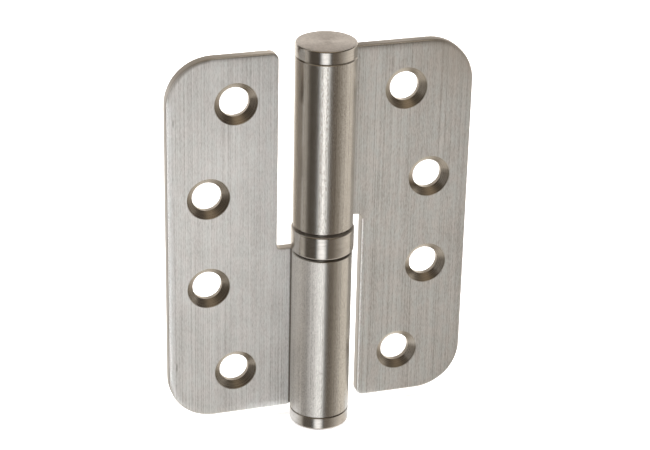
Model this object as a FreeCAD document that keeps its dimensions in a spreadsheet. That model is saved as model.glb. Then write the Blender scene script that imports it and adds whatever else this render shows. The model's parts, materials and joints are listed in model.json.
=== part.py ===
import FreeCAD, Part
import math
import os
import Sketcher
from FreeCAD import Placement, Rotation, Vector

# Lift-off door hinge, opened flat. The pin stands along Z with its middle at the origin, the door leaf
# lies towards +X, the frame leaf towards -X, and the countersunk faces look towards -Y.

# Driving sizes in millimetres and degrees
sizes = {
    "leaf_height": 100.0,  # leaf, from end to end along the pin
    "leaf_reach": 40.0,  # pin axis to the leaf's outer edge
    "sheet_thickness": 3.0,  # sheet that a leaf and its knuckle are made from
    "leaf_setback": 2.5,  # pin axis back to the leaf's countersunk face, half the gap of a closed hinge
    "outer_corner_radius": 12.0,
    "inner_corner_radius": 2.0,  # leaf corner beside the other leaf's knuckle
    "notch_corner_radius": 1.0,  # inside corner where the knuckle strip leaves the leaf
    "shoulder_radius": 1.5,  # small shoulder where the leaf's end drops to the knuckle
    "edge_rounding": 0.5,  # tumbled edges of the leaf
    "screw_hole_diameter": 7.7,
    "countersink_diameter": 11.2,
    "countersink_angle": 90.0,
    "hole_pitch": 25.0,  # between holes along the leaf
    "near_hole_reach": 22.2,  # pin axis to the first and last hole
    "far_hole_reach": 29.3,  # pin axis to the two middle holes
    "knuckle_diameter": 15.5,
    "knuckle_trim": 0.5,  # knuckle stops this far short of the leaf's end
    "knuckle_edge_break": 0.25,  # chamfer on a knuckle's end edges
    "slot_clearance": 3.5,  # between a knuckle and the edge of the other leaf
    "swage_bend": 1.5,  # inside radius of the bend from leaf to knuckle
    "seam_gap": 0.2,  # between the end of the roll and the leaf
    "seam_rounding": 0.4,  # outer corner at the end of the roll
    "bearing_height": 7.4,  # between the two knuckles
    "shell_proud": 0.35,  # shell stands out from the knuckles by this much
    "shell_wall": 0.75,
    "shell_lip_width": 0.65,  # lip turned in at each end of the shell
    "shell_lip_thickness": 0.6,
    "shell_rounding": 0.45,
    "shell_gap": 0.6,  # between the shell and each knuckle
    "race_clearance": 0.05,  # between the races and the shell
    "race_land": 0.1,  # rim of a race beside its groove
    "groove_depth": 0.35,
    "ball_clearance": 0.04,  # between a ball and its groove
    "ball_spacing": 0.05,  # least room between two balls
    "ball_count": 16,  # full ring, with no cage
    "pin_clearance": 0.05,  # between the pin and the knuckle that turns on it
    "race_bore_clearance": 0.1,  # between the pin and the races
    "pin_end_room": 3.8,  # between the tip of the pin and the plug of the top cap
    "pin_taper": 4.0,  # length of the guiding tip
    "pin_tip_radius": 3.2,
    "pin_tip_rounding": 0.8,
    "pin_foot_chamfer": 0.6,
    "cap_height": 3.5,
    "cap_rounding": 0.5,
    "spigot_length": 6.0,  # cap's plug inside the knuckle
    "spigot_clearance": 0.02,
    "spigot_chamfer": 0.5,
}

# Sizes that follow from the driving ones
derived = {
    "half_height": "Sizes.leaf_height / 2",
    "knuckle_radius": "Sizes.knuckle_diameter / 2",
    "bore_radius": "knuckle_radius - Sizes.sheet_thickness",
    "knuckle_start": "Sizes.bearing_height / 2",
    "knuckle_end": "half_height - Sizes.knuckle_trim",
    "knuckle_length": "knuckle_end - knuckle_start",
    "slot_reach": "knuckle_radius + Sizes.slot_clearance",
    "seam_depth": "Sizes.leaf_setback - Sizes.seam_gap",
    "seam_reach": "sqrt(knuckle_radius ^ 2 - Sizes.leaf_setback ^ 2)",
    "swage_outer": "Sizes.swage_bend + Sizes.sheet_thickness",
    "swage_depth": "Sizes.leaf_setback + swage_outer",
    "swage_reach": "sqrt((bore_radius + swage_outer) ^ 2 - swage_depth ^ 2)",
    "near_hole_height": "1.5 * Sizes.hole_pitch",
    "far_hole_height": "0.5 * Sizes.hole_pitch",
    "shell_radius": "knuckle_radius + Sizes.shell_proud",
    "shell_bore": "shell_radius - Sizes.shell_wall",
    "lip_bore": "shell_bore - Sizes.shell_lip_width",
    "shell_height": "Sizes.bearing_height - 2 * Sizes.shell_gap",
    "upper_lip": "shell_height - Sizes.shell_lip_thickness",
    "pin_radius": "bore_radius - Sizes.pin_clearance",
    "race_bore": "pin_radius + Sizes.race_bore_clearance",
    "race_radius": "shell_bore - Sizes.race_clearance",
    "race_neck": "lip_bore - Sizes.race_clearance",
    "race_shoulder": "upper_lip - shell_height / 2 - Sizes.race_clearance",
    "ball_orbit": "(race_bore + race_radius) / 2",
    "ball_room_across": "(race_radius - race_bore) / 2 - Sizes.race_land - Sizes.ball_clearance",
    "ball_room_around": "ball_orbit * sin(180 / Sizes.ball_count) - Sizes.ball_spacing / 2",
    "ball_radius": "min(ball_room_across; ball_room_around)",
    "groove_radius": "ball_radius + Sizes.ball_clearance",
    "race_face": "groove_radius - Sizes.groove_depth",
    "plug_end": "knuckle_end - Sizes.spigot_length",
    "spigot_radius": "bore_radius - Sizes.spigot_clearance",
    "cap_top": "Sizes.spigot_length + Sizes.cap_height",
    "pin_press_length": "plug_end - knuckle_start",
    "pin_tip": "2 * plug_end - Sizes.pin_end_room",
    "pin_taper_start": "pin_tip - Sizes.pin_taper",
}

doc = FreeCAD.newDocument("lift_off_hinge")


def fill_sheet(name, cells):
    """Put one named cell under another in a new spreadsheet."""
    sheet = doc.addObject("Spreadsheet::Sheet", name)
    for row, (alias, content) in enumerate(cells.items(), start=1):
        sheet.set(f"A{row}", alias)
        sheet.set(f"B{row}", content)
        sheet.setAlias(f"B{row}", alias)
    doc.recompute()
    return sheet


size_sheet = fill_sheet("Sizes", {alias: str(number) for alias, number in sizes.items()})
derived_sheet = fill_sheet("Derived", {alias: "=" + formula for alias, formula in derived.items()})

# A sketch's own origin and axes, and the points of a line or arc, as constraints number them
origin_point = (-1, 1)
horizontal_axis, vertical_axis = range(-1, -3, -1)
start, end, centre = range(1, 4)


def cell(alias):
    """Full name of a cell, as expressions use it."""
    return ("Sizes." if alias in sizes else "Derived.") + alias


def value(alias):
    """Present number in a cell."""
    return float(getattr(size_sheet if alias in sizes else derived_sheet, alias))


class Drawing:
    """A sketch on one of a body's origin planes, with its dimensions taken from the sheets."""

    def __init__(self, body, name, role, offset=None):
        self.sketch = body.newObject("Sketcher::SketchObject", name)
        plane = next(feature for feature in body.Origin.OriginFeatures if feature.Role == role)
        self.sketch.AttachmentSupport = [(plane, "")]
        self.sketch.MapMode = "FlatFace"
        if offset:
            self.sketch.setExpression("AttachmentOffset.Base.z", offset)

    def line(self, first, last):
        return self.sketch.addGeometry(Part.LineSegment(Vector(*first), Vector(*last)))

    def circle(self, middle, radius):
        return self.sketch.addGeometry(Part.Circle(Vector(*middle), Vector(0, 0, 1), radius))

    def arc(self, middle, radius, first_angle, last_angle):
        round_line = Part.Circle(Vector(*middle), Vector(0, 0, 1), radius)
        return self.sketch.addGeometry(Part.ArcOfCircle(round_line, first_angle, last_angle))

    def fix(self, kind, *where):
        self.sketch.addConstraint(Sketcher.Constraint(kind, *where))

    def dimension(self, kind, alias, *where):
        index = self.sketch.addConstraint(Sketcher.Constraint(kind, *where, value(alias)))
        name = f"{alias}_{index}"
        self.sketch.renameConstraint(index, name)
        self.sketch.setExpression("Constraints." + name, cell(alias))


def new_body(label):
    body = doc.addObject("PartDesign::Body", label)
    body.Label = label
    return body


def soften(body, kind, amount, base, chosen):
    """Fillet or chamfer the edges of a feature that the test picks out."""
    doc.recompute()
    names = [f"Edge{number}" for number, edge in enumerate(base.Shape.Edges, start=1) if chosen(edge)]
    feature = body.newObject("PartDesign::" + kind, f"{base.Name}_{kind.lower()}")
    feature.Base = (base, names)
    feature.setExpression("Radius" if kind == "Fillet" else "Size", cell(amount))
    body.Tip = feature
    return feature


def near(number, target):
    return abs(number - target) < 1e-4


def ring_edge(radius, height):
    """Test for the full circle of that radius at that height on a turned piece."""
    def chosen(edge):
        curve = edge.Curve
        is_ring = isinstance(curve, Part.Circle) and near(curve.Radius, value(radius))
        return is_ring and near(curve.Center.z, value(height) if height else 0.0)
    return chosen


def draw_outline(body):
    """Leaf seen from the front, with its knuckle strip at the upper half of the pin side."""
    draw = Drawing(body, body.Name + "_outline", "XZ_Plane", "-" + cell("leaf_setback"))
    seam, slot, reach = value("seam_reach"), value("slot_reach"), value("leaf_reach")
    low, high, half = value("knuckle_start"), value("knuckle_end"), value("half_height")
    notch, inner = value("notch_corner_radius"), value("inner_corner_radius")
    outer, shoulder = value("outer_corner_radius"), value("shoulder_radius")
    drop = math.acos(1 - value("knuckle_trim") / shoulder)
    shoulder_start = seam + shoulder * math.sin(drop)
    quarter = math.pi / 2

    tab = draw.line((seam, low), (slot - notch, low))
    notch_arc = draw.arc((slot - notch, low - notch), notch, 0, quarter)
    slot_edge = draw.line((slot, low - notch), (slot, inner - half))
    inner_arc = draw.arc((slot + inner, inner - half), inner, 2 * quarter, 3 * quarter)
    bottom = draw.line((slot + inner, -half), (reach - outer, -half))
    lower_arc = draw.arc((reach - outer, outer - half), outer, 3 * quarter, 4 * quarter)
    outer_edge = draw.line((reach, outer - half), (reach, half - outer))
    upper_arc = draw.arc((reach - outer, half - outer), outer, 0, quarter)
    top = draw.line((reach - outer, half), (shoulder_start, half))
    shoulder_arc = draw.arc((shoulder_start, half - shoulder), shoulder, quarter, quarter + drop)
    pin_side = draw.line((seam, high), (seam, low))

    draw.fix("Tangent", tab, end, notch_arc, end)
    draw.fix("Tangent", notch_arc, start, slot_edge, start)
    chain = [slot_edge, inner_arc, bottom, lower_arc, outer_edge, upper_arc, top, shoulder_arc]
    for before, after in zip(chain, chain[1:]):
        draw.fix("Tangent", before, end, after, start)
    draw.fix("Coincident", shoulder_arc, end, pin_side, start)
    draw.fix("Coincident", pin_side, end, tab, start)
    for level in (tab, bottom, top):
        draw.fix("Horizontal", level)
    for upright in (slot_edge, outer_edge, pin_side):
        draw.fix("Vertical", upright)
    draw.dimension("Radius", "notch_corner_radius", notch_arc)
    draw.dimension("Radius", "inner_corner_radius", inner_arc)
    draw.dimension("Radius", "outer_corner_radius", lower_arc)
    draw.fix("Equal", lower_arc, upper_arc)
    draw.dimension("Radius", "shoulder_radius", shoulder_arc)
    draw.dimension("DistanceX", "seam_reach", *origin_point, pin_side, start)
    draw.dimension("DistanceX", "slot_reach", *origin_point, slot_edge, start)
    draw.dimension("DistanceX", "leaf_reach", *origin_point, outer_edge, start)
    draw.dimension("DistanceY", "knuckle_start", *origin_point, tab, start)
    draw.dimension("DistanceY", "knuckle_end", *origin_point, pin_side, start)
    draw.dimension("DistanceY", "half_height", *origin_point, top, start)
    draw.dimension("DistanceY", "half_height", bottom, start, *origin_point)
    return draw.sketch


def drill_screw_holes(body):
    """Four countersunk holes in a zigzag, mirrored about the middle of the leaf."""
    draw = Drawing(body, body.Name + "_hole_centres", "XZ_Plane", "-" + cell("leaf_setback"))
    hole_radius = value("screw_hole_diameter") / 2
    first = None
    for reach, height in (("near_hole_reach", "near_hole_height"), ("far_hole_reach", "far_hole_height")):
        above = draw.circle((value(reach), value(height)), hole_radius)
        below = draw.circle((value(reach), -value(height)), hole_radius)
        draw.dimension("DistanceX", reach, *origin_point, above, centre)
        draw.dimension("DistanceY", height, *origin_point, above, centre)
        draw.fix("Symmetric", above, centre, below, centre, horizontal_axis)
        draw.fix("Equal", above, below)
        if first is None:
            first = above
            draw.dimension("Diameter", "screw_hole_diameter", first)
        else:
            draw.fix("Equal", first, above)
    doc.recompute()
    hole = body.newObject("PartDesign::Hole", body.Name + "_screw_holes")
    hole.Profile = draw.sketch
    hole.DepthType = "ThroughAll"
    hole.HoleCutType = "Countersink"
    hole.HoleCutCustomValues = True
    hole.setExpression("Diameter", cell("screw_hole_diameter"))
    hole.setExpression("HoleCutDiameter", cell("countersink_diameter"))
    hole.setExpression("HoleCutCountersinkAngle", cell("countersink_angle"))
    return hole


def make_plate(label):
    """Flat of the leaf up to the seam, holed and with tumbled edges."""
    body = new_body(label)
    plate = body.newObject("PartDesign::Pad", label + "_sheet")
    plate.Profile = draw_outline(body)
    plate.setExpression("Length", cell("sheet_thickness"))
    plate.Reversed = True
    doc.recompute()
    blank_volume = plate.Shape.Volume
    holes = drill_screw_holes(body)
    doc.recompute()
    if holes.Shape.Volume >= blank_volume:
        raise RuntimeError("the screw holes cut nothing")
    rounded = holes
    for face in (value("leaf_setback"), value("leaf_setback") + value("sheet_thickness")):

        def on_rim(edge):
            box = edge.BoundBox
            on_face = near(box.YMin, face) and near(box.YMax, face)
            return on_face and not edge.isClosed() and not near(box.XMax, value("seam_reach"))

        rounded = soften(body, "Fillet", "edge_rounding", rounded, on_rim)
    return body


def draw_roll(body):
    """Section of the rolled strip: leaf, bend back, then round the pin until it meets the leaf again."""
    draw = Drawing(body, body.Name + "_section", "XY_Plane", cell("knuckle_start"))
    seam, front = value("seam_reach"), value("leaf_setback")
    back = front + value("sheet_thickness")
    bend_x, bend_y = value("swage_reach"), value("swage_depth")
    bend_inside, bend_outside = value("swage_bend"), value("swage_outer")
    bore, rim = value("bore_radius"), value("knuckle_radius")
    leave = math.atan2(bend_y, bend_x)
    close = math.asin(value("seam_depth") / rim) + 2 * math.pi
    down = 1.5 * math.pi

    face = draw.line((bend_x, front), (seam, front))
    joint = draw.line((seam, front), (seam, back))
    rear = draw.line((seam, back), (bend_x, back))
    inside = draw.arc((bend_x, bend_y), bend_inside, leave + math.pi, down)
    outer_roll = draw.arc((0, 0), rim, leave, close)
    cut_end = draw.line((rim * math.cos(close), rim * math.sin(close)),
                        (bore * math.cos(close), bore * math.sin(close)))
    inner_roll = draw.arc((0, 0), bore, leave, close)
    outside = draw.arc((bend_x, bend_y), bend_outside, leave + math.pi, down)

    draw.fix("Tangent", outside, end, face, start)
    draw.fix("Tangent", inner_roll, start, outside, start)
    draw.fix("Tangent", outer_roll, start, inside, start)
    draw.fix("Tangent", inside, end, rear, end)
    draw.fix("Coincident", face, end, joint, start)
    draw.fix("Coincident", joint, end, rear, start)
    draw.fix("Coincident", outer_roll, end, cut_end, start)
    draw.fix("Coincident", cut_end, end, inner_roll, end)
    draw.fix("Coincident", outer_roll, centre, *origin_point)
    draw.fix("Coincident", inner_roll, centre, *origin_point)
    draw.fix("Coincident", inside, centre, outside, centre)
    draw.fix("PointOnObject", *origin_point, cut_end)
    draw.fix("Horizontal", face)
    draw.fix("Horizontal", rear)
    draw.fix("Vertical", joint)
    draw.dimension("Radius", "knuckle_radius", outer_roll)
    draw.dimension("Radius", "bore_radius", inner_roll)
    draw.dimension("Radius", "swage_outer", outside)
    draw.dimension("DistanceX", "seam_reach", *origin_point, joint, start)
    draw.dimension("DistanceY", "leaf_setback", *origin_point, joint, start)
    draw.dimension("DistanceY", "seam_depth", *origin_point, cut_end, start)
    return draw.sketch


def make_roll(label):
    """Knuckle rolled from the leaf's own strip, with its seam and end edges eased."""
    body = new_body(label)
    roll = body.newObject("PartDesign::Pad", label + "_strip")
    roll.Profile = draw_roll(body)
    roll.setExpression("Length", cell("knuckle_length"))

    def at_seam(edge):
        box = edge.BoundBox
        is_upright = near(box.ZLength, value("knuckle_length"))
        on_rim = near(math.hypot(box.XMin, box.YMin), value("knuckle_radius"))
        return is_upright and on_rim and near(box.YMin, value("seam_depth"))

    def round_knuckle(edge):
        curve = edge.Curve
        is_round = isinstance(curve, Part.Circle) and near(curve.Radius, value("knuckle_radius"))
        return is_round and near(edge.BoundBox.ZLength, 0.0)

    eased = soften(body, "Fillet", "seam_rounding", roll, at_seam)
    soften(body, "Chamfer", "knuckle_edge_break", eased, round_knuckle)
    return body


def make_leaf(label, turn):
    """One stamped and rolled leaf. The second leaf is the same stamping turned end for end."""
    leaf = doc.addObject("Part::Fuse", label)
    leaf.Label = label
    leaf.Base = make_plate(label + "_plate")
    leaf.Tool = make_roll(label + "_roll")
    leaf.Refine = True
    leaf.Placement = Placement(Vector(), turn)
    return leaf


def make_turned(label, corners):
    """Solid of revolution about Z through corners named by radius and height, None being zero."""
    body = new_body(label)
    draw = Drawing(body, label + "_profile", "XZ_Plane")
    points = [(value(radius) if radius else 0, value(height) if height else 0) for radius, height in corners]
    lines = [draw.line(first, last) for first, last in zip(points, points[1:] + points[:1])]
    for line, following in zip(lines, lines[1:] + lines[:1]):
        draw.fix("Coincident", line, end, following, start)
    for line, (radius, height) in zip(lines, corners):
        if radius:
            draw.dimension("DistanceX", radius, *origin_point, line, start)
        else:
            draw.fix("PointOnObject", line, start, vertical_axis)
        if height:
            draw.dimension("DistanceY", height, *origin_point, line, start)
        else:
            draw.fix("PointOnObject", line, start, horizontal_axis)
    turning = body.newObject("PartDesign::Revolution", label + "_turning")
    turning.Profile = draw.sketch
    turning.ReferenceAxis = (draw.sketch, ["V_Axis"])
    turning.Angle = 360.0
    return body, turning


def make_pin():
    """Pin pressed into the lower knuckle, slimmer where it turns, with a guiding tip."""
    body, turning = make_turned("hinge_pin", [
        (None, None),
        ("bore_radius", None),
        ("bore_radius", "pin_press_length"),
        ("pin_radius", "pin_press_length"),
        ("pin_radius", "pin_taper_start"),
        ("pin_tip_radius", "pin_tip"),
        (None, "pin_tip"),
    ])
    eased = soften(body, "Chamfer", "pin_foot_chamfer", turning, ring_edge("bore_radius", None))
    soften(body, "Fillet", "pin_tip_rounding", eased, ring_edge("pin_tip_radius", "pin_tip"))
    body.setExpression("Placement.Base.z", "-" + cell("plug_end"))
    return body


def make_cap(label, turn, sign):
    """End cap with a plug that is pressed into the knuckle."""
    body, turning = make_turned(label, [
        (None, None),
        ("spigot_radius", None),
        ("spigot_radius", "spigot_length"),
        ("knuckle_radius", "spigot_length"),
        ("knuckle_radius", "cap_top"),
        (None, "cap_top"),
    ])
    plug = soften(body, "Chamfer", "spigot_chamfer", turning, ring_edge("spigot_radius", None))
    rim = soften(body, "Fillet", "cap_rounding", plug, ring_edge("knuckle_radius", "cap_top"))
    soften(body, "Chamfer", "knuckle_edge_break", rim, ring_edge("knuckle_radius", "spigot_length"))
    body.Placement = Placement(Vector(), turn)
    body.setExpression("Placement.Base.z", sign + cell("plug_end"))
    return body


def make_shell():
    """Bearing's outer collar, turned in at both ends over the shoulders of the races."""
    body, turning = make_turned("bearing_shell", [
        ("lip_bore", None),
        ("shell_radius", None),
        ("shell_radius", "shell_height"),
        ("lip_bore", "shell_height"),
        ("lip_bore", "upper_lip"),
        ("shell_bore", "upper_lip"),
        ("shell_bore", "shell_lip_thickness"),
        ("lip_bore", "shell_lip_thickness"),
    ])
    foot = soften(body, "Fillet", "shell_rounding", turning, ring_edge("shell_radius", None))
    soften(body, "Fillet", "shell_rounding", foot, ring_edge("shell_radius", "shell_height"))
    body.setExpression("Placement.Base.z", "-" + cell("shell_height") + " / 2")
    return body


def make_race(label, turn):
    """Bearing ring from the balls out to a knuckle, with a groove for the balls."""
    body, turning = make_turned(label, [
        ("race_bore", "race_face"),
        ("race_radius", "race_face"),
        ("race_radius", "race_shoulder"),
        ("race_neck", "race_shoulder"),
        ("race_neck", "knuckle_start"),
        ("race_bore", "knuckle_start"),
    ])
    doc.recompute()
    blank_volume = turning.Shape.Volume
    draw = Drawing(body, label + "_track", "XZ_Plane")
    track = draw.circle((value("ball_orbit"), 0), value("groove_radius"))
    draw.dimension("DistanceX", "ball_orbit", *origin_point, track, centre)
    draw.fix("PointOnObject", track, centre, horizontal_axis)
    draw.dimension("Radius", "groove_radius", track)
    groove = body.newObject("PartDesign::Groove", label + "_groove")
    groove.Profile = draw.sketch
    groove.ReferenceAxis = (draw.sketch, ["V_Axis"])
    groove.Angle = 360.0
    body.Tip = groove
    doc.recompute()
    if groove.Shape.Volume >= blank_volume:
        raise RuntimeError("the ball groove cuts nothing")
    body.Placement = Placement(Vector(), turn)
    return body


def make_balls():
    """Full ring of balls, evenly spaced in the grooves of the races."""
    count = round(value("ball_count"))
    balls = []
    for number in range(count):
        label = f"ball_{number + 1:02d}"
        ball = doc.addObject("Part::Sphere", label)
        ball.Label = label
        ball.setExpression("Radius", cell("ball_radius"))
        turn = 2 * math.pi * number / count
        ball.setExpression("Placement.Base.x", f"{cell('ball_orbit')} * {math.cos(turn):.9f}")
        ball.setExpression("Placement.Base.y", f"{cell('ball_orbit')} * {math.sin(turn):.9f}")
        balls.append(ball)
    return balls


upright = Rotation()
end_for_end = Rotation(Vector(0, 1, 0), 180)
pieces = [
    make_leaf("frame_leaf", end_for_end),
    make_leaf("door_leaf", upright),
    make_pin(),
    make_cap("top_cap", upright, ""),
    make_cap("bottom_cap", end_for_end, "-"),
    make_shell(),
    make_race("lower_race", end_for_end),
    make_race("upper_race", upright),
]
pieces += make_balls()
doc.recompute()

for item in doc.Objects:
    if {"Invalid", "Error"} & set(item.State):
        raise RuntimeError(f"{item.Label} did not build")
for piece in pieces:
    if piece.Shape.isNull() or not piece.Shape.isValid():
        raise RuntimeError(f"{piece.Label} has no valid shape")

os.makedirs("parts", exist_ok=True)
for piece in pieces:
    piece.Shape.exportStep(f"parts/{piece.Label}.step")
    print(piece.Label, len(piece.Shape.Solids), round(piece.Shape.Volume, 2))
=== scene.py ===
import json
import math

import bpy
from mathutils import Matrix, Vector


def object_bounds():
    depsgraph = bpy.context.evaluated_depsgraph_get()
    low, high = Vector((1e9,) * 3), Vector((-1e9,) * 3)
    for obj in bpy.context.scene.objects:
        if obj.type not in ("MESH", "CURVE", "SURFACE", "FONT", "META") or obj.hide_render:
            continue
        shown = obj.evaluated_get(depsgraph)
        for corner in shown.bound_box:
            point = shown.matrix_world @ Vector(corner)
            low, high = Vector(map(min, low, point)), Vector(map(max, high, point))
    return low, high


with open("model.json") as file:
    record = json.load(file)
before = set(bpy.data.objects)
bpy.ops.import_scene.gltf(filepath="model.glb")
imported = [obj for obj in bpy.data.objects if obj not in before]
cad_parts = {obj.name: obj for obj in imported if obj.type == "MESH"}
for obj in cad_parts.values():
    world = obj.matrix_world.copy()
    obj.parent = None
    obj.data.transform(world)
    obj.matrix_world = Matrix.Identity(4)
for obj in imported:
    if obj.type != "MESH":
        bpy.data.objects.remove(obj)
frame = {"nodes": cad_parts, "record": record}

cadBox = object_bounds()
nodes = frame["nodes"]
mounts = {mount["name"]: mount for mount in frame["record"]["mounts"]}
millimetres = 1000  # in a metre
print("frame loaded:", len(nodes), "nodes")


class Wire:  # one output in a node tree, so that shader maths reads as plain expressions
    def __init__(self, tree, socket):
        self.tree = tree
        self.socket = socket

    def node(self, kind, settings, inputs, output=0):
        made = self.tree.nodes.new(kind)
        for name, setting in settings.items():
            setattr(made, name, setting)
        for name, feed in inputs.items():
            if isinstance(feed, Wire):
                self.tree.links.new(feed.socket, made.inputs[name])
            else:
                made.inputs[name].default_value = feed
        return Wire(self.tree, made.outputs[output])

    def maths(self, operation, first, second=0.0, third=0.0):
        return self.node("ShaderNodeMath", {"operation": operation}, {0: first, 1: second, 2: third})

    def __add__(self, other):
        return self.maths("ADD", self, other)

    def __radd__(self, other):
        return self.maths("ADD", other, self)

    def __sub__(self, other):
        return self.maths("SUBTRACT", self, other)

    def __rsub__(self, other):
        return self.maths("SUBTRACT", other, self)

    def __mul__(self, other):
        return self.maths("MULTIPLY", self, other)

    def __truediv__(self, other):
        return self.maths("DIVIDE", self, other)

    def __rtruediv__(self, other):
        return self.maths("DIVIDE", other, self)

    def __pow__(self, other):
        return self.maths("POWER", self, other)

    def __abs__(self):
        return self.maths("ABSOLUTE", self)

    def least(self, other):
        return self.maths("MINIMUM", self, other)

    def most(self, other):
        return self.maths("MAXIMUM", self, other)

    def clipped(self):  # held between 0 and 1
        return self.most(0).least(1)

    def rise(self, low=0.0, high=1.0):  # 0 below low, 1 above high, smooth between
        inputs = {"Value": self, "From Min": low, "From Max": high}
        return self.node("ShaderNodeMapRange", {"interpolation_type": "SMOOTHSTEP"}, inputs)

    def between(self, first, second):  # numbers: first where this is 0, second where it is 1
        return first + self * (second - first)

    def blend(self, first, second):  # colours: first where this is 0, second where it is 1
        first, second = [feed if isinstance(feed, Wire) else (*feed, 1.0) for feed in (first, second)]
        return self.node("ShaderNodeMix", {"data_type": "RGBA"}, {0: self, 6: first, 7: second}, 2)

    def tinted(self, tint):
        return self.node("ShaderNodeVectorMath", {"operation": "SCALE"}, {0: tint, "Scale": self})

    def axes(self):
        return [self.node("ShaderNodeSeparateXYZ", {}, {0: self}, axis) for axis in "XYZ"]


def distance(*sides):  # the root of the sum of the squares
    return sum(side ** 2 for side in sides) ** 0.5


class Steel:  # a metal surface under construction, measured in millimetres from the middle of the pin
    def __init__(self, name):
        self.material = bpy.data.materials.new(name)
        self.material.use_nodes = True
        self.tree = self.material.node_tree
        self.shader = self.tree.nodes["Principled BSDF"]
        coordinates = self.tree.nodes.new("ShaderNodeTexCoord").outputs
        place = Wire(self.tree, coordinates["Object"])
        self.x, self.y, self.z = [axis * millimetres for axis in place.axes()]
        self.facing = Wire(self.tree, coordinates["Normal"]).axes()
        self.radius = distance(self.x, self.y)
        self.turn = self.x.maths("ARCTAN2", self.x, self.y * -1)  # about the pin, from -Y towards +X

    def noise(self, first, second, third, detail=2.0):  # about 0, each coordinate counted in grains
        place = first.node("ShaderNodeCombineXYZ", {}, {"X": first, "Y": second, "Z": third})
        inputs = {"Vector": place, "Scale": 1.0, "Detail": detail, "Roughness": 0.55}
        return place.node("ShaderNodeTexNoise", {}, inputs) - 0.5

    def grain(self, across, along, detail=2.0):  # noise with one length across the pin and one along it
        return self.noise(self.x / across, self.y / across, self.z / along, detail)

    def finish(self, colour, roughness, metallic, height, anisotropic, rotation=0.0):
        inputs = {"Height": height, "Distance": 1 / millimetres, "Strength": 1.0}
        feeds = {
            "Base Color": colour,
            "Roughness": roughness,
            "Metallic": metallic,
            "Normal": height.node("ShaderNodeBump", {}, inputs),
            "Anisotropic": anisotropic,
            "Anisotropic Rotation": rotation,
        }
        for name, feed in feeds.items():
            if isinstance(feed, Wire):
                self.tree.links.new(feed.socket, self.shader.inputs[name])
            else:
                self.shader.inputs[name].default_value = feed
        return self.material


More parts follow.
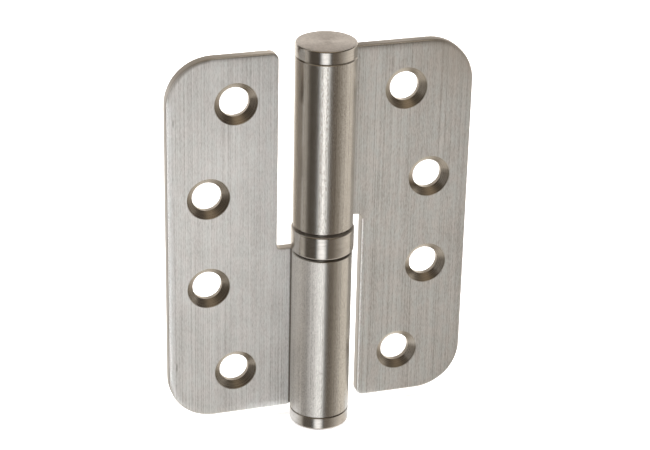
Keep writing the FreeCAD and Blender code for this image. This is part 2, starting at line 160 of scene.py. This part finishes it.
# Leaves: sheet brushed along the pin, ground back a little towards its rim, with a smoother rolled knuckle.
# Lengths are in millimetres and turns about the pin in radians. A pair named Grain is the length across the
# pin and along it. Most other pairs are where a change starts and where it is full.
leafLook = {
    # sheet
    "leafHalf": (40.0, 50.0),  # both leaves together, across and along the pin
    "cornerRadius": 12.0,
    "sheetRoughness": 0.57,
    "sheetMetallic": 0.75,
    "anisotropic": 0.75,
    "brushing": [  # length across the pin and along it, detail, share
        (0.11, 70.0, 3.0, 1.2),
        (0.36, 70.0, 2.0, 0.34),
        (0.15, 0.9, 2.0, 0.75),
        (3.0, 200.0, 2.0, 0.06),
    ],
    "streakLevel": 0.34,
    "streakDepth": 0.012,
    "streakRoughness": 0.25,
    "cloudGrain": (7.0, 12.0),
    "cloudShare": 0.35,
    "tintGrain": (2.4, 5.0),
    "tintContrast": 3.0,
    # back: the side that meets the door is left as rolled
    "backColour": (0.56, 0.56, 0.55),
    "backMetallic": 0.92,
    "backFacing": (0.3, 0.6),
    # countersinks, with rings from the cutter
    "sinkColour": (0.565, 0.52, 0.46),
    "sinkRoughness": 0.28,
    "sinkEdge": (5.5, 5.65),
    "ringPitch": 0.14,
    "ringTurn": 2.0,
    "ringDepth": 0.005,
    "ringRoughness": 0.12,
    # cut edges
    "sideColour": (0.86, 0.83, 0.79),  # long edges, dressed by the same belt as the faces
    "sideRoughness": 0.36,
    "sideFlat": (0.7, 0.98),
    "endRoughness": 0.40,
    "endFlat": (0.3, 0.75),
    "endFacing": (0.2, 0.75),
    "edgeRound": 0.5,  # as modelled, drawn crisper along the sides
    # rim, where 0 to 1 is the way round a corner from the side to the end
    "rimRoughness": 0.22,
    "groundBack": 2.4,  # width of the rim that falls away
    "groundDrop": 0.34,
    "upperHalf": (-10, 10),
    "sideFade": (1.0, 0.25),  # at the lower corners and at the upper ones, which are left fuller
    "endStart": (0.0, 0.4),  # lower and upper too
    "endFull": (1.0, 0.9),
    "shadeColour": (0.22, 0.185, 0.15),  # a darker line inside the top edge
    "shadeStart": (0.0, 0.6),
    "shadeEase": (0.85, 1.0),
    "shadeEased": 0.4,
    "shadeBand": (-1.3, -0.15),
    # painted shade, darker and browner, on the upper outer corner of a leaf
    "cornerShadeColour": (0.50, 0.42, 0.34),
    "cornerAcross": (18, 42),
    "cornerUp": (28, 50),
    # edge beside the slot for the other knuckle
    "slotReach": 11.25,  # from the pin
    "slotSpan": (-2.9, -1.9),  # from the middle towards the other knuckle
    "slotBack": 1.2,
    "slotDrop": 0.24,
    "slotGloss": (0.1, 0.5),
    "slotCrisp": 0.55,
    # knuckle
    "knuckleColour": (0.68, 0.66, 0.62),
    "knuckleRoughness": 0.20,
    "knuckleEdge": (7.95, 8.25),
    "knuckleContrast": 1.3,
    "knuckleBrushing": 0.4,
    "peelGrain": (0.24, 0.4),
    "peelRoughness": 0.12,
    "rippleTurn": 0.3125,
    "rippleLengths": (14.0, 6.0),
    "rippleDepth": 0.016,
    "rippleRoughness": 0.05,
    "satinColour": (0.80, 0.775, 0.735),  # the end of the roll keeps some of the brushed finish
    "satinRoughness": 0.36,
    "satinMetallic": 0.82,
    "satinStart": (1.0, 4.5),
    "crownDepth": 0.42,  # and stays flatter than the rest
    "crownTurn": (0.30, 0.95),
    # painted shade down the far side of the roll, standing in for the dark reflection seen there
    "flankShadeColour": (0.33, 0.285, 0.235),
    "flankShadeStart": (-1.70, -1.5),
    "flankShadeEnd": (-1.15, -1.03),
    # oily lines with painted shade in the seam and in the gaps at the knuckle's ends, and nicks
    "grimeAndShadeColour": (0.13, 0.105, 0.08),
    "grimeAndShadeRoughness": 0.2,
    "seam": (7.45, 2.35),  # out from the pin, and behind it
    "seamWidth": (0.2, 0.55),
    "seamGrimeAndShade": 0.8,
    "knuckleEnds": (3.7, 49.5),  # from the middle
    "grimeAndShadeWidth": (0.1, 0.35),
    "markGrime": 0.6,
    "markEdge": (0.1, 1.0),
}
frameLeafLook = {
    "side": -1,
    "sheetColour": (0.88, 0.863, 0.847),
    "coolColour": (0.862, 0.87, 0.854),
    "streakColour": (0.44, 0.418, 0.393),
    "endColour": (0.55, 0.506, 0.46),  # sheared ends
    "satin": 1.0,
    "contrast": 1.0,  # of the brushing
    "sideWear": 1.08,
    "topWear": 0.85,
    "bottomWear": 0.7,
    "rimShade": 0.8,  # share of the darker line inside the top edge
    "cornerShade": 0.0,  # share of the painted shade, darker and browner, on the upper outer corner
    "slotWear": 0.0,
    "gapGrimeAndShade": 0.5,  # share, where the knuckle meets the collar
    "capGrimeAndShade": 0.34,  # and where it meets the cap
    "flankShade": 0.0,  # share of the painted shade down the far side of the roll, standing in for a dark reflection there
    "marks": [  # small nicks: place, half width, half length
        (-38.18, 2.5, 33.9, 0.16, 1.5),
        (-37.91, 2.5, -34.54, 0.18, 1.6),
        (-3.5, -6.92, -43.38, 0.24, 0.24),
    ],
}
doorLeafLook = {
    "side": 1,
    # this leaf's colours are a shade darker and warmer than the frame leaf's: painted shade, for the leaf
    # that gets less light
    "sheetColour": (0.794, 0.768, 0.735),
    "coolColour": (0.762, 0.771, 0.746),
    "streakColour": (0.44, 0.403, 0.364),
    "endColour": (0.37, 0.335, 0.30),
    "satin": 0.3,
    "contrast": 1.45,
    "sideWear": 0.25,
    "topWear": 0.95,
    "bottomWear": 0.4,
    "rimShade": 0.35,
    "cornerShade": 0.6,
    "slotWear": 1.0,
    "gapGrimeAndShade": 0.1,
    "capGrimeAndShade": 0.06,
    "flankShade": 0.82,
    "marks": [],
}


# Lifts a rounded edge towards its sharp corner. The slant is 0 on the face and 1 on the side.
def crispEdge(slant):
    return 1 / slant.most((1 - slant ** 2) ** 0.5) - 1


class LeafZones:  # where a point lies on a leaf, as shares from 0 to 1, with the height of the crisp edges
    def __init__(self, steel, leaf):
        look = leafLook
        x, y, z = steel.x, steel.y, steel.z
        outward, reach, level = x * leaf["side"], abs(x), abs(z)

        holes = [mounts["door_screws_outer"], mounts["door_screws_inner"]]
        holes = [(hole["pos_m"][0] * millimetres, hole["dims"]["spacing_y_mm"] / 2) for hole in holes]
        near, far = [distance(reach - across, level - up) for across, up in holes]
        self.fromHole = near.least(far)  # in millimetres
        self.back = steel.facing[1].rise(*look["backFacing"])
        self.sink = (1 - self.fromHole.rise(*look["sinkEdge"])) * (1 - self.back)

        self.knuckle = 1 - steel.radius.rise(*look["knuckleEdge"])
        offKnuckle = 1 - self.knuckle
        self.satin = self.knuckle * outward.rise(*look["satinStart"]) * leaf["satin"]
        self.polish = self.knuckle - self.satin
        self.crown = (steel.turn * leaf["side"]).rise(*look["crownTurn"]) * self.knuckle * leaf["satin"]
        # painted shade down the far side of the roll, a stand-in for a dark reflection
        flankShadeBand = steel.turn.rise(*look["flankShadeStart"]) * (1 - steel.turn.rise(*look["flankShadeEnd"]))
        self.flankShade = flankShadeBand * leaf["flankShade"]

        # cut edges, by how far the surface has turned away from the face
        flatness = abs(steel.facing[1])
        self.sheared = abs(steel.facing[2]).rise(*look["endFacing"])
        onSide, onEnd = [1 - flatness.rise(*look[limits]) for limits in ("sideFlat", "endFlat")]
        self.edge = offKnuckle * (1 - self.sink) * self.sheared.between(onSide, onEnd)

        # rim
        corner = look["cornerRadius"]
        sizes = zip((reach, level), look["leafHalf"])
        pastSide, pastEnd = [(gap - half + corner).most(0) for gap, half in sizes]
        toRim = distance(pastSide, pastEnd) - corner  # 0 at the rim, negative inside it
        atEnd = pastEnd / (pastSide + pastEnd + 0.01)
        upper = z.rise(*look["upperHalf"])
        alongSide = 1 - atEnd.rise(0.0, upper.between(*look["sideFade"]))
        alongEnd = atEnd.rise(upper.between(*look["endStart"]), upper.between(*look["endFull"]))
        wear = alongSide * leaf["sideWear"] + alongEnd * upper.between(leaf["bottomWear"], leaf["topWear"])
        self.worn = (toRim / look["groundBack"] + 1).clipped() * offKnuckle * wear
        shade = atEnd.rise(*look["shadeStart"]) * leaf["rimShade"]
        shade = shade * atEnd.rise(*look["shadeEase"]).between(1.0, look["shadeEased"])
        self.shade = shade * toRim.rise(*look["shadeBand"]) * upper * offKnuckle
        # painted shade on the upper outer corner
        shadedCorner = outward.rise(*look["cornerAcross"]) * z.rise(*look["cornerUp"])
        self.shadedCorner = shadedCorner * leaf["cornerShade"]

        # edge beside the slot
        besideSlot = (z * -leaf["side"]).rise(*look["slotSpan"]) * offKnuckle * (1 - self.back)
        toSlot = look["slotReach"] - reach
        self.slotWorn = (toSlot / look["slotBack"] + 1).clipped() * besideSlot * leaf["slotWear"]

        sideSlant = (toRim / look["edgeRound"] + 1).clipped()
        slotSlant = (toSlot / look["edgeRound"] + 1).clipped() * besideSlot
        crisp = crispEdge(sideSlant) * alongSide * offKnuckle + crispEdge(slotSlant) * look["slotCrisp"]
        self.crisp = crisp * look["edgeRound"]

        # darker lines at the seam and at both ends of the knuckle, oil with painted shade in these gaps,
        # then the nicks
        seamReach, seamDepth = look["seam"]
        fromSeam = distance(outward - seamReach, y - seamDepth)
        self.grimeAndShade = (1 - fromSeam.rise(*look["seamWidth"])) * look["seamGrimeAndShade"]
        for end, share in zip(look["knuckleEnds"], (leaf["gapGrimeAndShade"], leaf["capGrimeAndShade"])):
            line = 1 - abs(level - end).rise(*look["grimeAndShadeWidth"])
            self.grimeAndShade = self.grimeAndShade.most(line * self.knuckle * share)
        for markX, markY, markZ, halfWidth, halfLength in leaf["marks"]:
            fromMark = distance((x - markX) / halfWidth, (y - markY) / halfWidth, (z - markZ) / halfLength)
            nick = 1 - (fromMark ** 2).rise(*look["markEdge"])
            self.grimeAndShade = self.grimeAndShade.most(nick * look["markGrime"])


def leafSteel(name, leaf):
    look = leafLook
    steel = Steel(name)
    on = LeafZones(steel, leaf)
    turn, z = steel.turn, steel.z

    brushing = [steel.grain(*lengths) * share for *lengths, share in look["brushing"]]
    streaks = sum(brushing) * leaf["contrast"]
    cloud, tint, peel = [steel.grain(*look[grain]) for grain in ("cloudGrain", "tintGrain", "peelGrain")]
    rings = steel.noise(on.fromHole / look["ringPitch"], 0.0, turn / look["ringTurn"])
    ripple = steel.noise(turn / look["rippleTurn"], *[z / length for length in look["rippleLengths"]])

    patches = cloud * look["cloudShare"] + look["streakLevel"]
    sheet = (tint * look["tintContrast"] + 0.5).rise().blend(leaf["sheetColour"], leaf["coolColour"])
    sheet = (on.back * (1 - on.knuckle)).blend(sheet, look["backColour"])
    sheet = (streaks + patches).rise().blend(sheet, leaf["streakColour"])
    rolled = on.satin.blend(look["knuckleColour"], look["satinColour"])
    rolledStreaks = (streaks + peel) * look["knuckleContrast"] + patches
    rolled = rolledStreaks.rise().blend(rolled, leaf["streakColour"])
    rolled = on.flankShade.blend(rolled, look["flankShadeColour"])
    colour = on.knuckle.blend(sheet, rolled)
    colour = on.shadedCorner.blend(colour, look["cornerShadeColour"])
    colour = on.shade.blend(colour, look["shadeColour"])
    colour = on.edge.blend(colour, on.sheared.blend(look["sideColour"], leaf["endColour"]))
    colour = on.sink.blend(colour, look["sinkColour"])
    # oil, nicks and painted shade in the seam and in the gaps
    colour = on.grimeAndShade.blend(colour, look["grimeAndShadeColour"])

    satinOfKnuckle = on.satin / on.knuckle.most(0.01)
    rolled = satinOfKnuckle.between(look["knuckleRoughness"], look["satinRoughness"])
    rolled = rolled + (streaks + peel) * look["peelRoughness"] + ripple * look["rippleRoughness"]
    roughness = on.knuckle.between(look["sheetRoughness"] + streaks * look["streakRoughness"], rolled)
    roughness = on.worn.between(roughness, look["rimRoughness"])
    roughness = on.edge.between(roughness, on.sheared.between(look["sideRoughness"], look["endRoughness"]))
    slotGloss = on.slotWorn.rise(*look["slotGloss"]) * (1 - on.edge)
    roughness = slotGloss.between(roughness, look["rimRoughness"])
    roughness = on.sink.between(roughness, look["sinkRoughness"] + rings * look["ringRoughness"])
    roughness = roughness + on.grimeAndShade * look["grimeAndShadeRoughness"]

    metallic = on.back.between(look["sheetMetallic"], look["backMetallic"])
    metallic = on.satin.between(metallic, look["satinMetallic"])
    bright = on.polish.most(on.sink).most(on.edge * on.sheared)
    bright = bright.most(on.worn.most(on.slotWorn) * (1 - on.edge))
    metallic = bright.between(metallic, 1.0)

    brushed = streaks * look["streakDepth"] * (1 - on.sink)
    brushed = brushed * on.knuckle.between(1.0, look["knuckleBrushing"])
    height = on.crisp + on.crown * look["crownDepth"] + brushed
    height = height + rings * on.sink * look["ringDepth"] + ripple * on.polish * look["rippleDepth"]
    height = height - on.worn ** 2 * look["groundDrop"] - on.slotWorn ** 2 * look["slotDrop"]
    return steel.finish(colour, roughness, metallic, height, look["anisotropic"])


# Caps, collar, pin and bearing: bar turned on a lathe, so the marks run round the pin.
# What they share comes first, with lengths in millimetres and turns in radians.
latheLook = {
    "endFacing": (0.85, 0.98),
    "fineTurn": 1.6,
    "fineShare": 0.9,
    "broadPitch": 5,  # in fine grooves
    "broadTurn": 0.9,
    "broadShare": 0.7,
    "endShifts": (7, 5),  # so that the marks on the end don't repeat those on the side
    "grooveLevel": 0.3,
    "grooveRoughness": 0.10,
    "cloudGrain": (1.8, 1.8),
    "cloudShare": 0.8,
    "cloudRoughness": 0.12,
    "mottleLengths": (0.55, 0.8, 0.55),
    "mottleContrast": 2.4,
    "endShare": 0.8,
    "endRoughness": 0.18,
    "crownRadius": 7.75,
    "anisotropic": 0.55,
    "rotation": 0.25,  # a quarter turn
}
turnedLook = {
    "colour": (0.64, 0.615, 0.58),
    "grooveColour": (0.46, 0.43, 0.395),
    "roughness": 0.22,
    "groovePitch": 0.13,
    "grooveDepth": 0.007,
    "endColour": (0.535, 0.485, 0.446),
    "mottleColour": (0.42, 0.38, 0.35),  # the ends are faced and a little grainy
    "endMetallic": 0.9,
    "crown": 0.22,  # the ends are very slightly domed
    # height, width and share of the darker lines at the joints, oil with painted shade in the gaps
    "joints": [(-3.1, 0.42, 0.88), (49.5, 0.35, 0.06), (-49.5, 0.35, 0.34)],
}
pinLook = {
    "colour": (0.60, 0.585, 0.56),
    "grooveColour": (0.50, 0.48, 0.45),
    "roughness": 0.20,
    "groovePitch": 0.06,
    "grooveDepth": 0.002,
    "endColour": (0.55, 0.53, 0.50),
    "mottleColour": (0.52, 0.50, 0.47),
    "endMetallic": 1.0,
    "crown": 0.0,
    "joints": [],
}
bearingLook = {
    "colour": (0.66, 0.655, 0.64),
    "grooveColour": (0.57, 0.56, 0.54),
    "roughness": 0.13,
    "groovePitch": 0.09,
    "grooveDepth": 0.0012,
    "endColour": (0.55, 0.53, 0.50),
    "mottleColour": (0.52, 0.50, 0.47),
    "endMetallic": 1.0,
    "crown": 0.0,
    "joints": [],
}


def turnedSteel(name, pieceLook):
    look = {**latheLook, **pieceLook}
    steel = Steel(name)
    onEnd = abs(steel.facing[2]).rise(*look["endFacing"])
    path = onEnd.between(steel.z, steel.radius)  # across the marks, along the side or over the end
    fineShift, broadShift = [onEnd * shift for shift in look["endShifts"]]
    fine = steel.noise(path / look["groovePitch"], steel.turn / look["fineTurn"], fineShift)
    broadPitch = look["broadPitch"] * look["groovePitch"]
    broad = steel.noise(path / broadPitch, steel.turn / look["broadTurn"], broadShift)
    grooves = fine * look["fineShare"] + broad * look["broadShare"]
    cloud = steel.grain(*look["cloudGrain"])
    places = zip((steel.x, steel.y, steel.z), look["mottleLengths"])
    mottle = steel.noise(*[place / length for place, length in places])

    grooveShare = (grooves + look["grooveLevel"] + cloud * look["cloudShare"]).rise()
    colour = grooveShare.blend(look["colour"], look["grooveColour"])
    mottleShare = (mottle * look["mottleContrast"] + 0.5).rise()
    endColour = mottleShare.blend(look["endColour"], look["mottleColour"])
    colour = (onEnd * look["endShare"]).blend(colour, endColour)
    # darker lines at the joints: oil with painted shade in the gaps
    for end, width, share in look["joints"]:
        grimeAndShade = 1 - abs(steel.z - end).rise(leafLook["grimeAndShadeWidth"][0], width)
        colour = (grimeAndShade * share).blend(colour, leafLook["grimeAndShadeColour"])

    roughness = look["roughness"] + grooves * look["grooveRoughness"]
    roughness = roughness + onEnd * look["endRoughness"] + cloud * look["cloudRoughness"]
    metallic = onEnd.between(1.0, look["endMetallic"]) if look["endMetallic"] < 1 else 1.0
    dome = onEnd * (steel.radius / look["crownRadius"]) ** 4 * look["crown"]
    height = grooves * look["grooveDepth"] - dome
    return steel.finish(colour, roughness, metallic, height, look["anisotropic"], look["rotation"])


turned = turnedSteel("turnedSteel", turnedLook)
dress = {
    "frame_leaf": leafSteel("frameLeafSteel", frameLeafLook),
    "door_leaf": leafSteel("doorLeafSteel", doorLeafLook),
    "top_cap": turned,
    "bottom_cap": turned,
    "bearing_shell": turned,
    "hinge_pin": turnedSteel("groundPinSteel", pinLook),
}
bearing = turnedSteel("bearingSteel", bearingLook)  # races and balls
for nodeName, piece in nodes.items():
    for materialSlot in piece.material_slots:
        materialSlot.material = dress.get(nodeName, bearing)
print("steels assigned:", len(dress), "named nodes and the bearing")

# Camera, placed and turned as the photograph was taken, in degrees and metres
shot = {
    "yaw": 17.51,  # the camera standing towards -X
    "pitch": 25.37,  # looking down
    "roll": 1.28,
    "distance": 0.52996,
    "focalPixels": 2076.15,
    "imageWidth": 650,
    "sideways": 0.00061,
    "above": 0.00313,
    "nearest": 0.01,
}


def placeCamera(shot):
    yaw, pitch, roll = (math.radians(shot[name]) for name in ("yaw", "pitch", "roll"))
    ahead = Vector((math.sin(yaw) * math.cos(pitch), math.cos(yaw) * math.cos(pitch), -math.sin(pitch)))
    level = Vector((math.cos(yaw), -math.sin(yaw), 0))
    upward = level.cross(ahead)
    rightward = level * math.cos(roll) + upward * math.sin(roll)
    upward = upward * math.cos(roll) - level * math.sin(roll)
    aim = level * shot["sideways"] + Vector((0, 0, shot["above"]))
    lens = bpy.data.cameras.new("photoCamera")
    lens.sensor_fit = "HORIZONTAL"
    lens.lens = shot["focalPixels"] * lens.sensor_width / shot["imageWidth"]
    lens.clip_start = shot["nearest"]
    camera = bpy.data.objects.new("photoCamera", lens)
    turn = Matrix((rightward, upward, -ahead)).transposed().to_4x4()
    camera.matrix_world = Matrix.Translation(aim - ahead * shot["distance"]) @ turn
    bpy.context.scene.collection.objects.link(camera)
    bpy.context.scene.camera = camera


placeCamera(shot)
print("camera placed")

# Studio: soft panels round the hinge, each at an angle from -Y towards +X and at an angle above the ground,
# with half its size and the width of its soft rim, all in degrees. Other lengths are in metres.
studio = {
    "backdrop": (1.0, 1.0, 1.0),
    "surround": {"strength": 0.09, "tint": (1.0, 0.84, 0.68)},
    "overhead": {"strength": 0.40, "tint": (1.0, 0.79, 0.54), "from": 47, "to": 72},
    "underfoot": {"strength": 0.36, "tint": (1.0, 0.94, 0.87), "from": -60, "to": -75},
    "panels": {
        "right": {"at": 106, "half": 18, "soft": 74, "height": -25, "halfHeight": 30, "softHeight": 30,
                  "strength": 0.78, "tint": (1.0, 0.93, 0.83)},
        "frontFill": {"at": 18, "half": 12, "soft": 30, "height": -25, "halfHeight": 25, "softHeight": 30,
                      "strength": 0.07, "tint": (1.0, 0.80, 0.60)},
        "lowFront": {"at": 0, "half": 60, "soft": 60, "height": -72, "halfHeight": 20, "softHeight": 20,
                     "strength": 0.62, "tint": (1.0, 0.96, 0.90)},
        "left": {"at": -98, "half": 6, "soft": 16, "height": -10, "halfHeight": 50, "softHeight": 25,
                 "strength": 0.46, "tint": (1.0, 0.95, 0.87)},
        "back": {"at": 180, "half": 14, "soft": 36, "height": -16, "halfHeight": 22, "softHeight": 45,
                 "strength": 1.05, "tint": (1.0, 0.95, 0.88)},
    },
    # a glowing card close by, so that the nearer leaf gets more of it
    "keyCard": {"at": -19, "distance": 0.30, "half": 0.026, "soft": 0.10, "low": -0.36, "high": 0.12,
                "strength": 1.6},
    # bright paper under and behind the bottom cap, seen only in the metal
    "paperGlow": {"reach": 0.026, "from": 0.009, "ahead": -0.0055, "behind": -0.001, "end": 0.006,
                  "endSoft": 0.002, "drop": 0.0001, "strength": 1.1},
    "lamps": {
        "floorWash": {"place": (0.0, 0.0, 1.1), "size": 1.6, "power": 36.0, "shadow": True},
        "leftLamp": {"place": (-0.052, -0.068, -0.002), "size": 0.06, "power": 0.046, "shadow": False},
        "rightLamp": {"place": (0.034, -0.068, -0.004), "size": 0.06, "power": 0.012, "shadow": False},
    },
}


def lightSurroundings(studio):
    world = bpy.data.worlds.new("studio")
    bpy.context.scene.world = world
    world.use_nodes = True
    tree = world.node_tree
    ray = Wire(tree, tree.nodes.new("ShaderNodeTexCoord").outputs["Generated"])
    across, ahead, up = ray.axes()
    around = across.maths("ARCTAN2", across, ahead * -1) * math.degrees(1)
    above = up.maths("ARCSINE", up) * math.degrees(1)
    glows = []
    for name in ("overhead", "underfoot"):
        glows.append((above.rise(studio[name]["from"], studio[name]["to"]), studio[name]))
    for panel in studio["panels"].values():
        gap = abs(above.maths("WRAP", around - panel["at"], 180.0, -180.0))
        lift = abs(above - panel["height"])
        width = 1 - gap.rise(panel["half"], panel["half"] + panel["soft"])
        tall = 1 - lift.rise(panel["halfHeight"], panel["halfHeight"] + panel["softHeight"])
        glows.append((width * tall, panel))
    light = [studio["surround"]["strength"] * channel for channel in studio["surround"]["tint"]]
    for share, glow in glows:
        part = (share * glow["strength"]).tinted(glow["tint"])
        light = part.node("ShaderNodeVectorMath", {"operation": "ADD"}, {0: light, 1: part})
    toCamera = Wire(tree, tree.nodes.new("ShaderNodeLightPath").outputs["Is Camera Ray"])
    seen = toCamera.blend(light, studio["backdrop"])
    tree.links.new(seen.socket, tree.nodes["Background"].inputs["Color"])


def flatSheet(name, corners, material, hiddenFrom):
    mesh = bpy.data.meshes.new(name)
    mesh.from_pydata(corners, [], [(0, 1, 2, 3)])
    mesh.materials.append(material)
    piece = bpy.data.objects.new(name, mesh)
    for rays in hiddenFrom:
        setattr(piece, "visible_" + rays, False)
    bpy.context.scene.collection.objects.link(piece)
    return piece


def squareCorners(reach, level):
    return [(-reach, -reach, level), (reach, -reach, level), (reach, reach, level), (-reach, reach, level)]


def hangKeyCard(card):
    angle = math.radians(card["at"])
    middle = Vector((math.sin(angle), -math.cos(angle), 0)) * card["distance"]
    sideways = Vector((math.cos(angle), math.sin(angle), 0))
    reach = card["half"] + card["soft"]
    glow = bpy.data.materials.new("keyGlow")
    glow.use_nodes = True
    tree = glow.node_tree
    shader = tree.nodes["Principled BSDF"]
    shader.inputs["Base Color"].default_value = (0, 0, 0, 1)
    shader.inputs["Specular IOR Level"].default_value = 0.0
    shader.inputs["Emission Strength"].default_value = card["strength"]
    place = Wire(tree, tree.nodes.new("ShaderNodeTexCoord").outputs["Object"])
    dotProduct = {"operation": "DOT_PRODUCT"}
    along = place.node("ShaderNodeVectorMath", dotProduct, {0: place, 1: sideways}, "Value")
    fade = 1 - abs(along).rise(card["half"], reach)
    tree.links.new(fade.tinted((1, 1, 1)).socket, shader.inputs["Emission Color"])
    low, high = card["low"], card["high"]
    places = [(-reach, low), (reach, low), (reach, high), (-reach, high)]
    corners = [middle + sideways * across + Vector((0, 0, level)) for across, level in places]
    piece = flatSheet("keyCard", corners, glow, ("camera", "diffuse", "shadow"))


def layPaperGlow(glow):
    paper = bpy.data.materials.new("paperGlow")
    paper.use_nodes = True
    tree = paper.node_tree
    tree.nodes.remove(tree.nodes["Principled BSDF"])
    x, y = Wire(tree, tree.nodes.new("ShaderNodeTexCoord").outputs["Object"]).axes()[:2]
    share = 1 - distance(x, y).rise(glow["from"], glow["reach"])
    share = share * y.rise(glow["ahead"], glow["behind"])
    share = share * (1 - y.rise(glow["end"] - glow["endSoft"], glow["end"]))
    light = share.node("ShaderNodeEmission", {}, {"Strength": glow["strength"]})
    clear = share.node("ShaderNodeBsdfTransparent", {}, {})
    mixed = share.node("ShaderNodeMixShader", {}, {0: share, 1: clear, 2: light})
    tree.links.new(mixed.socket, tree.nodes["Material Output"].inputs["Surface"])
    corners = squareCorners(glow["reach"], cadBox[0][2] - glow["drop"])
    piece = flatSheet("paperGlow", corners, paper, ("camera", "diffuse", "shadow"))


def hangLamps(lamps):
    for name, lamp in lamps.items():
        light = bpy.data.lights.new(name, "AREA")
        light.shape = "DISK"
        light.size = lamp["size"]
        light.energy = lamp["power"]
        light.use_shadow = lamp["shadow"]
        piece = bpy.data.objects.new(name, light)
        place = Vector(lamp["place"])
        turn = place.to_track_quat("Z", "Y").to_matrix().to_4x4()  # shines towards the middle of the pin
        piece.matrix_world = Matrix.Translation(place) @ turn
        piece.visible_glossy = False
        bpy.context.scene.collection.objects.link(piece)


lightSurroundings(studio)
hangKeyCard(studio["keyCard"])
layPaperGlow(studio["paperGlow"])
hangLamps(studio["lamps"])
print("studio lit")

# Floor: pale paper, whiter further out
floorLook = {
    "reach": 2.0,
    "drop": 0.0002,
    "colour": (0.92, 0.92, 0.92),
    "roughness": 0.9,
    "whiteFrom": 0.12,
    "whiteTo": 0.5,
    "whiteNear": 0.3,
    "glow": 1.0,
}


def layFloor(look):
    paper = bpy.data.materials.new("paper")
    paper.use_nodes = True
    tree = paper.node_tree
    shader = tree.nodes["Principled BSDF"]
    shader.inputs["Base Color"].default_value = (*look["colour"], 1.0)
    shader.inputs["Roughness"].default_value = look["roughness"]
    shader.inputs["Specular IOR Level"].default_value = 0.0
    shader.inputs["Emission Strength"].default_value = look["glow"]
    place = Wire(tree, tree.nodes.new("ShaderNodeTexCoord").outputs["Object"])
    away = place.node("ShaderNodeVectorMath", {"operation": "LENGTH"}, {0: place}, "Value")
    white = away.rise(look["whiteFrom"], look["whiteTo"]).between(look["whiteNear"], 1.0)
    tree.links.new(white.tinted(look["colour"]).socket, shader.inputs["Emission Color"])
    corners = squareCorners(look["reach"], cadBox[0][2] - look["drop"])
    floor = flatSheet("floor", corners, paper, ("glossy", "diffuse"))  # the metal mirrors only the panels


layFloor(floorLook)
bpy.context.scene.view_settings.view_transform = "Standard"
print("floor laid")
